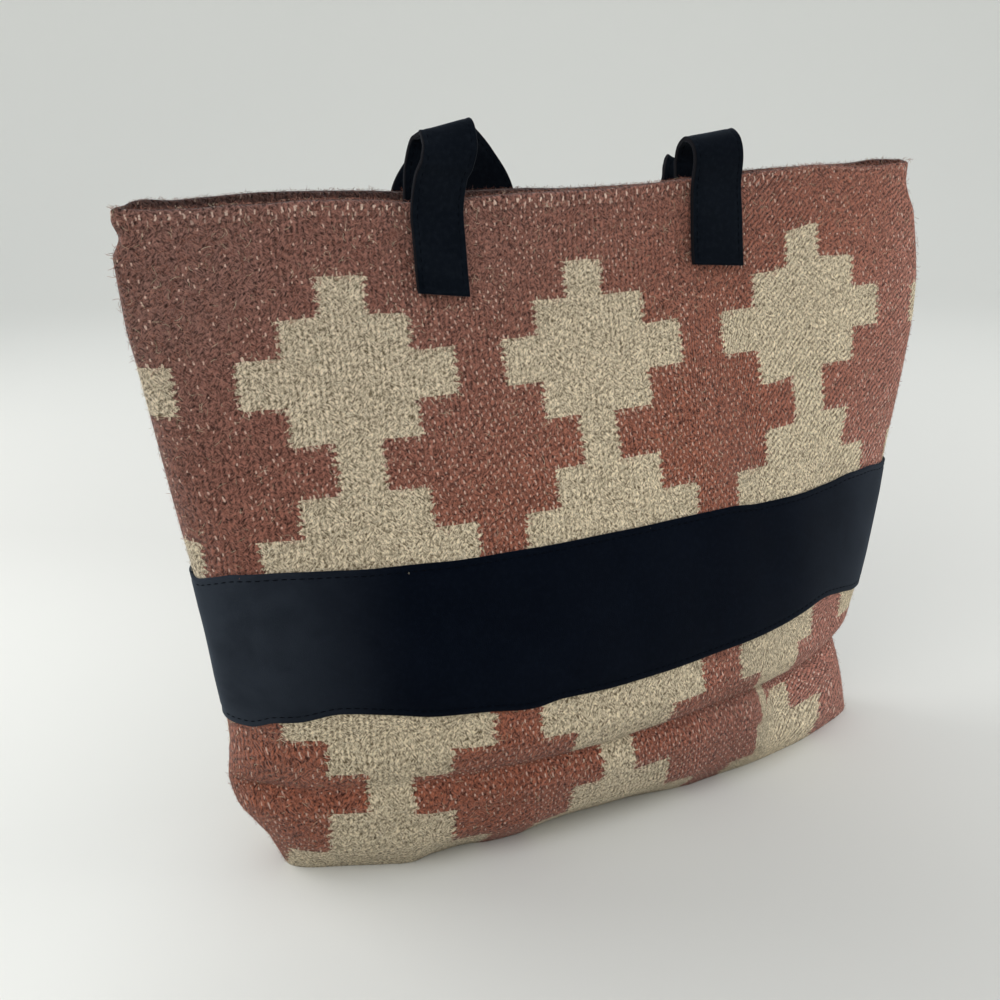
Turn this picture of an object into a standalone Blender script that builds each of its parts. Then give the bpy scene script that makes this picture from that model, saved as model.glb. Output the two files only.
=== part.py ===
"""Standing tote of handwoven wool with a suede band and two suede handles.

Metres, +Z up. The front faces -Y, the bag stands on the floor at Z = 0 and the
base is centred on the origin. The cloth is one piece folded under the base, so
the wool is a single closed body: outer wall, rounded rim, turned-in hem, inner
wall and base. The section at each level runs from a soft ridge to round sides.
"""

import math

import bpy
import numpy as np

TOP_WIDTH = 0.4500
RIM_HEIGHT = 0.3500
CLOTH_DROP = 1.0486 * RIM_HEIGHT
STEP = TOP_WIDTH / 20
ROW = CLOTH_DROP / 16.31
HALF_DEPTH = 0.0560
BASE_BOW = 0.0190
RIM_FRONT_DEPTH = 0.0080
RIM_BACK_DEPTH = 0.0165

WOOL = 0.0030
HEM = 0.0056
HEM_DEPTH = 0.0250
RIM_ROUND = 0.0016
LINING = 0.0008
BAND = 0.0014
BAND_TOP = 8.43 * ROW
BAND_BOTTOM = 11.96 * ROW
STRAP_WIDTH = 0.0300
STRAP = 0.0028
STRAP_SEWN = 0.0530
GAP = 0.0003
LINING_GAP = 0.0006
STRAP_GAP = 0.0006

LEFT_STRAP = -3.689 * STEP
RIGHT_STRAP = 3.311 * STEP

# Each row of this table is a level of the cloth, from the rim to the bottom edge:
# way down the cloth, height, left and right half width, half depth, place of the
# soft ridge, and how full the face and the side are.
LEVELS = (
    (0.000, 1.000, 1.028, 0.974, 0.000, 0.000, 2.00, 2.00),
    (0.245, 0.776, 1.004, 1.029, 0.374, -0.110, 2.00, 2.50),
    (0.491, 0.534, 0.962, 0.983, 0.790, -0.205, 1.75, 2.35),
    (0.730, 0.277, 0.920, 0.923, 1.000, -0.217, 1.65, 2.10),
    (0.831, 0.160, 0.900, 0.861, 0.960, -0.180, 1.70, 2.10),
    (0.926, 0.070, 0.857, 0.886, 0.870, -0.200, 1.85, 2.30),
    (1.000, 0.000, 0.812, 0.905, 0.460, -0.200, 2.20, 2.70),
)

# Height of the front rim above the plain level, and the extra height of the back
# rim, each at a place across the bag.
RIM_LINE = ((-1.0, -0.0014), (-0.66, -0.0005), (-0.42, -0.0035), (-0.27, -0.0043), (0.0, -0.0030),
            (0.27, 0.0003), (0.42, 0.0034), (0.65, 0.0046), (1.0, 0.0038))
BACK_LIFT = ((-1.0, 0.0), (-0.83, 0.0018), (-0.40, 0.0028), (-0.20, 0.0018), (0.0, -0.0008),
             (0.20, -0.0030), (0.60, -0.0020), (1.0, 0.0))

# The fold that runs across under the band, and how deep it is at places across.
CREASE_LEVEL = 0.822
CREASE_SPREAD = 0.027
CREASE_DEPTH = ((-1.0, 0.0010), (-0.85, 0.0050), (-0.5, 0.0035), (0.0, 0.0060), (0.5, 0.0070),
                (0.8, 0.0080), (1.0, 0.0070))

# Column edges of the woven steps, counted in steps from the middle of the front.
COLUMNS = (-9.56, -8.32, -7.39, -6.50, -5.45, -4.55, -3.58, -2.44, -1.57, -0.76,
           0.19, 1.25, 2.22, 3.45, 4.47, 5.51, 6.52, 7.48, 8.40, 9.82)
# Row edges of the woven steps, counted in rows down from the rim.
ROWS = (1.71, 2.66, 3.54, 4.67, 5.57, 6.74, 7.63, 8.65, 9.70, 10.73, 11.75, 12.78, 13.39, 14.39,
        15.46, 16.50)
# How many columns each row of a diamond reaches from its middle, row after row.
REACH = (0, 1, 2, 1)

SIDE_SHARES = (0.30, 0.55, 0.75, 0.90, 1.0)
PLAIN_ROWS = (0.0, 0.45, 1.11, 1.71, 2.66, 3.54, 4.67, 5.57, 6.74, 7.63, 12.38, 12.78, 13.08, 13.39,
              13.75, 14.39, 14.95, 15.46, 15.90, 16.31)
INNER_ROWS = (2.66, 4.67, 6.74, 8.43, 10.20, 11.96, 12.78, 13.39, 14.39, 15.46, 16.05)


def band_rows():
    """Distances down the cloth of the rows that the band covers."""
    return [BAND_TOP + share * (BAND_BOTTOM - BAND_TOP) for share in (0, 0.25, 0.5, 0.75, 1)]


def body_rows():
    """Distances down the cloth of the rows of the outer wall."""
    clear = 0.3 * ROW
    plain = [row * ROW for row in PLAIN_ROWS]
    plain = [down for down in plain if down < BAND_TOP - clear or down > BAND_BOTTOM + clear]
    return sorted(plain + band_rows())


def lining_rows():
    """Distances down the cloth of the inner rows that are below the hem."""
    under = HEM_DEPTH + 0.003
    return [under] + [row * ROW for row in INNER_ROWS if row * ROW > under + 0.004]


def smooth_table(table, place, column=1):
    """Value of a column at a place, by a curve that never overshoots its rows."""
    xs = [row[0] for row in table]
    ys = [row[column] for row in table]
    place = min(max(place, xs[0]), xs[-1])
    slopes = [(ys[k + 1] - ys[k]) / (xs[k + 1] - xs[k]) for k in range(len(xs) - 1)]
    k = 0
    while k < len(slopes) - 1 and place > xs[k + 1]:
        k += 1

    def tangent(i):
        if i == 0:
            return slopes[0]
        if i == len(xs) - 1:
            return slopes[-1]
        if slopes[i - 1] * slopes[i] <= 0:
            return 0.0
        return 2 * slopes[i - 1] * slopes[i] / (slopes[i - 1] + slopes[i])

    width = xs[k + 1] - xs[k]
    t = (place - xs[k]) / width
    rise = ys[k + 1] - ys[k]
    first = tangent(k) * width
    last = tangent(k + 1) * width
    return ys[k] + t * (first + t * (3 * rise - 2 * first - last + t * (first + last - 2 * rise)))


class Level:
    """One level of the bag: its height and the plan curves of its front and back.

    An inset gives the curves of a layer that far inside the outer face.
    """

    def __init__(self, down, inset):
        share = down / CLOTH_DROP
        half = TOP_WIDTH / 2
        self.share = share
        self.height = RIM_HEIGHT * smooth_table(LEVELS, share, 1)
        self.left = half * smooth_table(LEVELS, share, 2) - inset
        self.right = half * smooth_table(LEVELS, share, 3) - inset
        self.ridge = half * smooth_table(LEVELS, share, 5)
        self.face = smooth_table(LEVELS, share, 6)
        self.side = smooth_table(LEVELS, share, 7)
        fade = max(0.0, 1 - share / 0.245) ** 1.5
        deep = HALF_DEPTH * smooth_table(LEVELS, share, 4) - inset
        self.front_depth = deep + RIM_FRONT_DEPTH * fade
        self.back_depth = deep + RIM_BACK_DEPTH * fade
        self.curves = {}
        for back in (False, True):
            depth = self.back_depth if back else self.front_depth
            left_arc = self.arc(self.left + self.ridge, depth)
            self.curves[back] = (left_arc, self.arc(self.right - self.ridge, depth))

    def arc(self, reach, depth):
        """Plan curve from the ridge to one side: reach, depth and length so far."""
        turn = np.sin(np.linspace(0, math.pi / 2, 161))
        along = reach * turn
        deep = depth * np.maximum(1 - turn ** self.face, 0) ** (1 / self.side)
        length = np.concatenate([[0], np.cumsum(np.hypot(np.diff(along), np.diff(deep)))])
        return along, deep, length

    def ends(self, back):
        """Arc length from the middle to the left and the right side seam."""
        (_, _, left), (_, _, right) = self.curves[back]
        return -left[-1] + self.ridge, right[-1] + self.ridge

    def plan(self, across, back):
        """Plan place of the cloth at an arc length from the middle, before the folds."""
        from_ridge = across - self.ridge
        along, deep, length = self.curves[back][1 if from_ridge > 0 else 0]
        reach = float(np.interp(abs(from_ridge), length, along))
        depth = float(np.interp(abs(from_ridge), length, deep))
        return self.ridge + math.copysign(reach, from_ridge), depth


LEVEL_STORE = {}


def level_at(down, inset=0.0):
    key = (round(down, 6), round(inset, 6))
    if key not in LEVEL_STORE:
        LEVEL_STORE[key] = Level(down, inset)
    return LEVEL_STORE[key]


def cloth_point(across, down, back=False, inset=0.0):
    """Point of the cloth at an arc length across and a distance down."""
    level = level_at(down, inset)
    x, depth = level.plan(across, back)
    place = x / (TOP_WIDTH / 2)
    inside = max(0.0, 1 - place * place)
    up = 1 - level.share
    crease = math.exp(-((level.share - CREASE_LEVEL) / CREASE_SPREAD) ** 2)
    groove = crease * smooth_table(CREASE_DEPTH, place)
    groove *= min(1, depth / 0.02)
    z = level.height + up * up * smooth_table(RIM_LINE, place)
    if back:
        z += up ** 3 * smooth_table(BACK_LIFT, place)
        return np.array([x, max(depth - 0.7 * groove, 0.4 * depth), z])
    bow = inside * (level.share * BASE_BOW * (1 + 0.1 * place) - 4 * up * (1 - up) * 0.006)
    depth = max(depth + bow - groove, 0.4 * depth)
    return np.array([x - 0.6 * groove * max(0, place) ** 6, -depth, z])


def column_places(down, back, inset=0.0):
    """Arc lengths of the columns at a level, from the left seam to the right seam."""
    left, right = level_at(down, inset).ends(back)
    first = COLUMNS[1] * STEP
    last = COLUMNS[-2] * STEP
    places = [first + share * (left - first) for share in reversed(SIDE_SHARES)]
    places += [c * STEP for c in COLUMNS[1:-1]]
    places += [last + share * (right - last) for share in SIDE_SHARES]
    return places


def ring_points(down, inset=0.0):
    """Closed ring of a layer: front from left to right, then back again."""
    front = [cloth_point(s, down, False, inset) for s in column_places(down, False, inset)]
    back = [cloth_point(s, down, True, inset) for s in column_places(down, True, inset)]
    for a in (0, -1):
        seam = (front[a] + back[a]) / 2
        seam[1] = 0.0
        front[a] = seam
    return np.array(front + back[-2:0:-1])


def material(name, colour, roughness):
    made = bpy.data.materials.new(name)
    made.use_nodes = True
    shader = made.node_tree.nodes["Principled BSDF"]
    shader.inputs["Base Color"].default_value = (*colour, 1)
    shader.inputs["Roughness"].default_value = roughness
    made.diffuse_color = (*colour, 1)
    return made


def make_object(name, points, faces, materials, slots=None):
    mesh = bpy.data.meshes.new(name)
    mesh.from_pydata([tuple(p) for p in points], [], faces)
    for made in materials:
        mesh.materials.append(made)
    if slots is not None:
        mesh.polygons.foreach_set("material_index", slots)
    mesh.validate()
    mesh.update()
    made = bpy.data.objects.new(name, mesh)
    bpy.context.scene.collection.objects.link(made)
    return made


def ring_faces(upper, lower, count, outwards=True):
    """Quads between two rings, each cut the same way so that layers stay apart."""
    faces = []
    for k in range(count):
        a = upper + k
        b = upper + (k + 1) % count
        c = lower + (k + 1) % count
        d = lower + k
        faces.append((a, d, c, b) if outwards else (a, b, c, d))
    return faces


def cap_faces(start, count, facing_down=True):
    """Strips across a closed ring from its front half to its back half."""
    half = count // 2
    faces = []
    for k in range(half):
        a = start + k
        b = start + k + 1
        c = start + (count - k - 1) % count
        d = start + (count - k) % count
        corners = (a, b, c, d)
        if k == 0:
            corners = (a, b, c)
        elif k == half - 1:
            corners = (a, b, d)
        faces.append(corners if not facing_down else tuple(reversed(corners)))
    return faces


def is_cream(steps_across, rows_down):
    """Whether the stepped diamonds are cream at a place counted in steps and rows."""
    row = sum(1 for edge in ROWS if rows_down > edge) - 1
    column = sum(1 for edge in COLUMNS if steps_across > edge) - 1
    if row < 0 or column < 0:
        return row >= 0 and row % 4 == 2 and steps_across > -11.2
    place = (column - 1) % 6
    if place == 5:
        return False
    return abs(place - 2) <= REACH[row % 4]


def build_body(rust, cream):
    points = []
    faces = []
    slots = []
    downs = body_rows()
    rings = [ring_points(down) for down in downs]
    count = len(rings[0])
    starts = []
    for ring in rings:
        starts.append(len(points))
        points.extend(ring)
    front = len(column_places(0.0, False))
    for k in range(len(rings) - 1):
        made = ring_faces(starts[k], starts[k + 1], count)
        middle = (downs[k] + downs[k + 1]) / 2
        places = column_places(middle, False)
        for j, face in enumerate(made):
            column = j if j < front - 1 else count - 1 - j
            across = (places[column] + places[column + 1]) / 2 / STEP
            slots.append(1 if is_cream(across, middle / ROW) else 0)
            faces.append(face)
    faces += cap_faces(starts[-1], count)
    slots += [0] * (len(faces) - len(slots))
    crest = ring_points(0.0, HEM / 2)
    crest[:, 2] += RIM_ROUND
    crest_start = len(points)
    points.extend(crest)
    faces += ring_faces(crest_start, starts[0], count)
    inner = [ring_points(share * HEM_DEPTH, HEM) for share in (0, 0.4, 1)]
    inner += [ring_points(down, WOOL) for down in lining_rows()]
    inner[-1][:, 2] = WOOL
    inner_starts = []
    for ring in inner:
        inner_starts.append(len(points))
        points.extend(ring)
    faces += ring_faces(inner_starts[0], crest_start, count)
    for k in range(len(inner) - 1):
        faces += ring_faces(inner_starts[k], inner_starts[k + 1], count, outwards=False)
    inner_cap = cap_faces(inner_starts[-1], count, facing_down=False)
    faces += inner_cap
    slots += [0] * (len(faces) - len(slots))
    return make_object("woven_body", points, faces, [rust, cream], slots)


def build_lining(cotton):
    """Cotton bag inside the wool, from under the hem to just above the base."""
    points = []
    faces = []
    rows = lining_rows()
    outer = [ring_points(down, WOOL + LINING_GAP) for down in rows]
    inner = [ring_points(down, WOOL + LINING_GAP + LINING) for down in rows]
    outer[-1][:, 2] = WOOL + LINING_GAP
    inner[-1][:, 2] = WOOL + LINING_GAP + LINING
    count = len(outer[0])
    for ring in outer + inner:
        points.extend(ring)
    layers = len(rows)
    for k in range(layers - 1):
        faces += ring_faces(k * count, (k + 1) * count, count)
        faces += ring_faces((layers + k) * count, (layers + k + 1) * count, count, outwards=False)
    faces += cap_faces((layers - 1) * count, count)
    faces += cap_faces((2 * layers - 1) * count, count, facing_down=False)
    faces += ring_faces(0, layers * count, count, outwards=False)
    return make_object("lining", points, faces, [cotton])


def build_band(name, back, suede):
    rows = band_rows()
    layers = {GAP: [], GAP + BAND: []}
    for down in rows:
        ring = ring_points(down)
        front = len(column_places(down, False))
        count = len(ring)
        before = np.roll(ring, 1, axis=0)
        after = np.roll(ring, -1, axis=0)
        above = ring_points(down - 0.002)
        below = ring_points(down + 0.002)
        normal = np.cross(after - before, above - below)
        normal /= np.linalg.norm(normal, axis=1)[:, None]
        picked = list(range(front)) if not back else [k % count for k in range(front - 1, count + 1)]
        for amount in layers:
            moved = ring + amount * normal
            line = moved[picked]
            shift = 0.00018 if not back else -0.00018
            line[0, 1] -= shift
            line[-1, 1] -= shift
            layers[amount].append(line)
    inner = layers[GAP]
    outer = layers[GAP + BAND]
    width = len(inner[0])
    height = len(rows)
    points = [p for line in inner for p in line] + [p for line in outer for p in line]
    other = width * height
    faces = []
    for r in range(height - 1):
        for c in range(width - 1):
            a = r * width + c
            b = a + 1
            d = a + width
            e = d + 1
            faces.append((a, b, e, d))
            faces.append((other + a, other + d, other + e, other + b))
    for c in range(width - 1):
        faces.append((c, other + c, other + c + 1, c + 1))
        a = (height - 1) * width + c
        faces.append((a, a + 1, other + a + 1, other + a))
    for r in range(height - 1):
        a = r * width
        faces.append((a, a + width, other + a + width, other + a))
        a = r * width + width - 1
        faces.append((a, other + a, other + a + width, a + width))
    return make_object(name, points, faces, [suede])


def spline(points, samples):
    """Smooth curve through the points, evenly sampled between each pair."""
    points = np.array(points, float)
    padded = np.vstack([2 * points[0] - points[1], points, 2 * points[-1] - points[-2]])
    made = []
    for k in range(len(points) - 1):
        p0, p1, p2, p3 = padded[k:k + 4]
        for s in range(samples):
            t = s / samples
            made.append(0.5 * (2 * p1 + (p2 - p0) * t + (2 * p0 - 5 * p1 + 4 * p2 - p3) * t * t
                               + (3 * p1 - p0 - 3 * p2 + p3) * t ** 3))
    made.append(points[-1])
    return np.array(made)


def build_strap(name, path, widths, faces_out, suede):
    """Flat strap along a path: a width direction and a face direction at each station."""
    points = []
    faces = []
    for centre, across, out in zip(path, widths, faces_out):
        side = across * STRAP_WIDTH / 2
        lift = out * STRAP / 2
        points += [centre - side - lift, centre + side - lift, centre + side + lift, centre - side + lift]
    for k in range(len(path) - 1):
        a = 4 * k
        for j in range(4):
            n = (j + 1) % 4
            faces.append((a + j, a + n, a + 4 + n, a + 4 + j))
    faces.append((3, 2, 1, 0))
    last = 4 * (len(path) - 1)
    faces.append((last, last + 1, last + 2, last + 3))
    made = make_object(name, points, faces, [suede])
    return made


def strap_frames(path, hints):
    """Unit width and face directions square to the path, following the width hints."""
    widths = []
    outs = []
    for k, centre in enumerate(path):
        ahead = path[min(k + 1, len(path) - 1)] - path[max(k - 1, 0)]
        ahead = ahead / np.linalg.norm(ahead)
        across = hints[k] - ahead * np.dot(hints[k], ahead)
        across = across / np.linalg.norm(across)
        widths.append(across)
        outs.append(np.cross(ahead, across))
    return widths, outs


def sewn_stations(place, back, stations=4):
    """Centre line of a strap end lying flat on the outside of the cloth."""
    made = []
    for k in range(stations):
        down = STRAP_SEWN * (1 - k / (stations - 1)) + 0.0035 * (k / (stations - 1))
        edges = (place - STRAP_WIDTH / 2, place + STRAP_WIDTH / 2)
        points = [cloth_point(place, down, back)]
        for near in (max(down - 0.005, 0), down, down + 0.005):
            points += [cloth_point(edge, near, back) for edge in edges]
        outmost = max(p[1] for p in points) if back else min(p[1] for p in points)
        out = STRAP / 2 + STRAP_GAP
        made.append(np.array([points[0][0], outmost + (out if back else -out), points[0][2]]))
    return made


def handle(name, back, path, suede):
    """One strap: sewn end, the path between its ends and the other sewn end."""
    left = sewn_stations(LEFT_STRAP, back)
    right = sewn_stations(RIGHT_STRAP, back)
    stations = left + [np.array(row[:3]) for row in path] + right[::-1]
    hints = [np.array((1.0, 0, 0))] * len(left)
    hints += [np.array(row[3:]) for row in path]
    hints += [np.array((-1.0, 0, 0))] * len(right)
    smooth = spline(np.hstack([np.array(stations), np.array(hints)]), 3)
    path = smooth[:, :3]
    widths, outs = strap_frames(path, smooth[:, 3:])
    length = np.linalg.norm(np.diff(path, axis=0), axis=1).sum()
    print(name, "strap length", round(float(length) * 1000), "mm")
    return build_strap(name, path, widths, outs, suede)


def build_handles(suede):
    rim = RIM_HEIGHT
    left = LEFT_STRAP
    right = RIGHT_STRAP
    out = RIM_FRONT_DEPTH + STRAP + STRAP_GAP
    mouth = (RIM_BACK_DEPTH - RIM_FRONT_DEPTH) / 2
    # Front handle: up and a little forward, over backwards, then down inside the bag.
    # Each row gives a place and the direction of the strap's width there.
    front = (
        (left + 0.0012, -out - 0.0011, rim + 0.0050, 1, 0, 0.02),
        (left + 0.0035, -out - 0.0041, rim + 0.0130, 1, 0, 0.05),
        (left + 0.0055, -out - 0.0031, rim + 0.0210, 1, 0.02, 0.10),
        (left + 0.0068, -out + 0.0049, rim + 0.0285, 1, 0.05, 0.16),
        (left + 0.0066, mouth - 0.0012, rim + 0.0240, 1, 0, 0.12),
        (left + 0.0045, mouth + 0.0022, rim + 0.0130, 1, 0, 0.05),
        (left + 0.0030, mouth + 0.0016, rim + 0.0010, 1, 0, 0),
        (left + 0.0030, mouth + 0.0008, rim - 0.0200, 1, 0, 0),
        (left + 0.0040, mouth - 0.0008, rim - 0.0500, 1, 0.15, 0),
        (left + 0.0110, mouth - 0.0048, rim - 0.0820, 0.8, 0.6, 0),
        (left + 0.0380, mouth - 0.0073, rim - 0.1130, 0.15, 1, 0),
        ((left + right) / 2, mouth - 0.0083, rim - 0.1270, 0, 1, 0),
        (right - 0.0380, mouth - 0.0073, rim - 0.1130, -0.15, 1, 0),
        (right - 0.0110, mouth - 0.0048, rim - 0.0820, -0.8, 0.6, 0),
        (right - 0.0040, mouth - 0.0008, rim - 0.0500, -1, 0.15, 0),
        (right - 0.0010, mouth + 0.0008, rim - 0.0200, -1, 0, 0),
        (right - 0.0005, mouth + 0.0020, rim + 0.0010, -1, 0, 0),
        (right - 0.0010, mouth + 0.0034, rim + 0.0100, -1, 0, 0),
        (right - 0.0018, mouth - 0.0002, rim + 0.0185, -1, 0, 0),
        (right - 0.0025, mouth - 0.0078, rim + 0.0225, -1, -0.04, 0),
        (right - 0.0025, -out + 0.0004, rim + 0.0190, -1, -0.02, 0),
        (right - 0.0015, -out - 0.0014, rim + 0.0110, -1, 0, 0),
    )
    handle("front_handle", False, front, suede)
    # Back handle: up behind the rim, over backwards, then a loop down behind the back.
    out = RIM_BACK_DEPTH + STRAP + STRAP_GAP
    bulge = HALF_DEPTH + GAP + BAND + STRAP_WIDTH / 2
    behind = (
        (left + 0.0050, out + 0.0014, rim + 0.0055, 0.97, 0, -0.24),
        (left + 0.0125, out + 0.0027, rim + 0.0140, 0.85, 0, -0.50),
        (left + 0.0200, out + 0.0086, rim + 0.0200, 0.98, 0.10, 0.05),
        (left + 0.0280, out + 0.0151, rim + 0.0170, 0.75, 0, 0.62),
        (left + 0.0390, out + 0.0186, rim + 0.0060, 0.66, 0.05, 0.75),
        (left + 0.0510, out + 0.0211, rim - 0.0110, 0.66, 0.10, 0.75),
        (left + 0.0600, out + 0.0281, rim - 0.0380, 0.80, 0.35, 0.45),
        (left + 0.0640, out + 0.0381, rim - 0.0750, 0.60, 0.75, 0.20),
        (left + 0.0670, bulge - 0.0067, rim - 0.1120, 0.20, 0.97, 0.10),
        (left + 0.0800, bulge - 0.0007, rim - 0.1450, 0, 1, 0.10),
        ((left + right) / 2 + 0.0300, bulge + 0.0023, rim - 0.1620, 0, 1, 0.10),
        (right - 0.0200, bulge - 0.0007, rim - 0.1450, 0, 1, 0.10),
        (right - 0.0060, bulge - 0.0067, rim - 0.1120, -0.20, 0.97, 0.10),
        (right - 0.0020, out + 0.0361, rim - 0.0750, -0.60, 0.75, 0.20),
        (right + 0.0030, out + 0.0221, rim - 0.0380, -0.90, 0.35, 0.10),
        (right + 0.0060, out + 0.0126, rim - 0.0140, -1, 0.05, 0),
        (right + 0.0065, out + 0.0098, rim - 0.0010, -1, 0, 0),
        (right + 0.0055, out + 0.0084, rim + 0.0060, -1, 0, 0),
        (right + 0.0045, out + 0.0052, rim + 0.0086, -1, 0, 0),
        (right + 0.0035, out + 0.0022, rim + 0.0074, -1, 0, 0),
        (right + 0.0025, out + 0.0006, rim + 0.0030, -1, 0, 0),
    )
    handle("back_handle", True, behind, suede)


def main():
    for old in list(bpy.data.objects):
        bpy.data.objects.remove(old, do_unlink=True)
    rust = material("wool_rust", (0.175, 0.052, 0.036), 0.95)
    cream = material("wool_cream", (0.46, 0.39, 0.29), 0.95)
    suede_band = material("suede_band", (0.010, 0.013, 0.020), 0.85)
    suede_strap = material("suede_strap", (0.009, 0.012, 0.018), 0.85)
    cotton = material("lining_cotton", (0.10, 0.045, 0.035), 0.9)
    build_body(rust, cream)
    build_band("front_band", False, suede_band)
    build_band("back_band", True, suede_band)
    build_handles(suede_strap)
    build_lining(cotton)


main()
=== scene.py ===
import math

import bmesh
import bpy
import numpy as np
from mathutils import Matrix, Vector


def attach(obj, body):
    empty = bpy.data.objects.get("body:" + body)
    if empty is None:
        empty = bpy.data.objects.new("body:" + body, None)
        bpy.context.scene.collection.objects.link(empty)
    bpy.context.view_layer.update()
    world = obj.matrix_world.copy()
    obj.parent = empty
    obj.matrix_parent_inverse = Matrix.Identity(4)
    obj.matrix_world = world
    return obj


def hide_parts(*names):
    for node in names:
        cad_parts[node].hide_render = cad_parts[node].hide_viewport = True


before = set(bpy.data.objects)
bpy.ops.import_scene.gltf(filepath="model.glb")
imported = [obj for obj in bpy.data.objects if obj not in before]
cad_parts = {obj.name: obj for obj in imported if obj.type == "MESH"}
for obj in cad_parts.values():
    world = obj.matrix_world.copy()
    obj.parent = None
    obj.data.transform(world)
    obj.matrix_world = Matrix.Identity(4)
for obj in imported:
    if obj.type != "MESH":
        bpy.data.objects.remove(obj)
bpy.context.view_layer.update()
print("frame loaded")

mm = 0.001

# the cloth's shape, in metres and in shares
cloth = {
    "topWidth": 0.4500, "rimHeight": 0.3500, "drop": 0.36701, "halfDepth": 0.0560, "baseBow": 0.0190,
    "rimFront": 0.0080, "rimBack": 0.0165, "wool": 0.0030, "hem": 0.0056, "hemDepth": 0.0250,
    "rimRound": 0.0016, "creaseLevel": 0.822, "creaseSpread": 0.024, "backSpread": 0.027,
    "hemMark": 0.0072, "hemMarkWidth": 0.0016, "hemMarkDepth": 0.0004,
}
step = cloth["topWidth"] / 20
rowStep = cloth["drop"] / 16.31
bandTop = 8.43 * rowStep
bandBottom = 11.96 * rowStep
leftStrap = -3.689 * step
rightStrap = 3.311 * step

# way down, height, left and right half width, half depth, ridge place, fullness of face and side
levels = np.array((
    (0.000, 1.000, 1.028, 0.974, 0.000, 0.000, 2.00, 2.00),
    (0.245, 0.776, 1.004, 1.029, 0.374, -0.110, 2.00, 2.50),
    (0.491, 0.534, 0.962, 0.983, 0.790, -0.205, 1.75, 2.35),
    (0.730, 0.277, 0.920, 0.923, 1.000, -0.217, 1.65, 2.10),
    (0.831, 0.160, 0.900, 0.861, 0.960, -0.180, 1.70, 2.10),
    (0.926, 0.070, 0.857, 0.886, 0.870, -0.200, 1.85, 2.30),
    (1.000, 0.000, 0.812, 0.905, 0.460, -0.200, 2.20, 2.70),
))


def table(scale, *pairs):
    # pairs of a place and a value, the value in units of the scale
    return np.array(pairs) * (1, scale)


rimFront = table(mm, (-1, -4.6), (-0.985, -4.8), (-0.95, -5.2), (-0.87, -5.3), (-0.8, -4.4), (-0.74, -4.6),
                 (-0.66, -3.7), (-0.55, -4.3), (-0.49, -4.9), (-0.42, -6.6), (-0.29, -5.3), (-0.17, -4.4),
                 (0.026, -4), (0.13, -2.9), (0.27, -0.5), (0.42, 1), (0.55, 2.6), (0.65, 4), (0.725, 2.9),
                 (0.8, 2.2), (0.86, 2.3), (0.93, 3.3), (0.985, 3.2), (1, 1.8))
rimBack = table(mm, (-1, -3.6), (-0.985, -1.8), (-0.96, -1.2), (-0.909, -2.1), (-0.85, -1.5), (-0.72, -0.3),
                (-0.61, -0.7), (-0.51, -1.4), (-0.42, -2.7), (-0.38, -3.5), (-0.13, -3.4), (-0.02, -4.2),
                (0.2, -3.6), (0.42, 0.6), (0.6, 2.5), (0.8, 3.7), (0.876, 5.4), (0.94, 5.1), (0.985, 4),
                (1, 1.8))
# how far each side seam swells out or is drawn in, by share of the way down
swellLeft = table(mm, (0, 0.2), (0.012, 0.6), (0.034, -1.2), (0.065, 2.8), (0.155, 3), (0.217, 1.6), (0.3, 0.4),
                  (0.45, -0.6), (0.53, -1.8), (0.62, -2.8), (0.72, -2.2), (0.77, -1.2), (0.8, 1.2),
                  (0.835, 4.4), (0.87, 5), (0.905, 2.4), (0.945, -0.6), (1, 0))
swellRight = table(mm, (0, -1), (0.03, -2.6), (0.05, -1.2), (0.08, 2.8), (0.15, 2.7), (0.24, 2), (0.33, 0.6),
                   (0.45, -1), (0.6, -2.6), (0.72, -2.8), (0.8, -3), (0.85, -2.2), (0.885, -1.4),
                   (0.926, -0.8), (0.965, 0.8), (1, 3.4))
# how deep the fold below the band is, by place across
creaseDepth = table(mm, (-1, 1), (-0.88, 8.2), (-0.72, 3.6), (-0.45, 4.5), (-0.2, 6.5), (0.2, 7.5), (0.5, 8.5),
                    (0.8, 9), (1, 7))
# how far the front of the base is pushed back, by place across
baseFront = table(mm, (-1, 0), (-0.8, 1), (-0.7, 2.8), (-0.6, 0), (-0.54, -1.8), (-0.48, 2.4), (-0.4, 4.2),
                  (-0.33, 2), (-0.26, 2.8), (-0.18, 6.4), (-0.07, 8.4), (0.04, 8.2), (0.12, 6), (0.2, 2.6),
                  (0.28, 0.2), (0.5, -0.8), (1, 0))


def hump(value, middle, width):
    # a smooth bump, 1 high
    return np.exp(-((value - middle) / width) ** 2)


def smoothStep(low, high, value):
    t = np.clip((value - low) / (high - low), 0, 1)
    return t * t * (3 - 2 * t)


def lengthsAlong(pieces):
    # the way from the start to the end of each piece
    return np.concatenate([[0], np.cumsum(pieces)])


def smoothTable(values, places, column=1):
    # a smooth curve through the values of a table, without overshoot between them
    xs = values[:, 0]
    ys = values[:, column]
    places = np.clip(np.asarray(places, float), xs[0], xs[-1])
    slopes = np.diff(ys) / np.diff(xs)
    tangents = np.empty(len(xs))
    tangents[0] = slopes[0]
    tangents[-1] = slopes[-1]
    product = slopes[:-1] * slopes[1:]
    total = np.where(product > 0, slopes[:-1] + slopes[1:], 1.0)
    tangents[1:-1] = np.where(product > 0, 2 * product / total, 0.0)
    k = np.clip(np.searchsorted(xs, places, side="left") - 1, 0, len(xs) - 2)
    width = xs[k + 1] - xs[k]
    t = (places - xs[k]) / width
    rise = ys[k + 1] - ys[k]
    first = tangents[k] * width
    last = tangents[k + 1] * width
    return ys[k] + t * (first + t * (3 * rise - 2 * first - last + t * (first + last - 2 * rise)))


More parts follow.
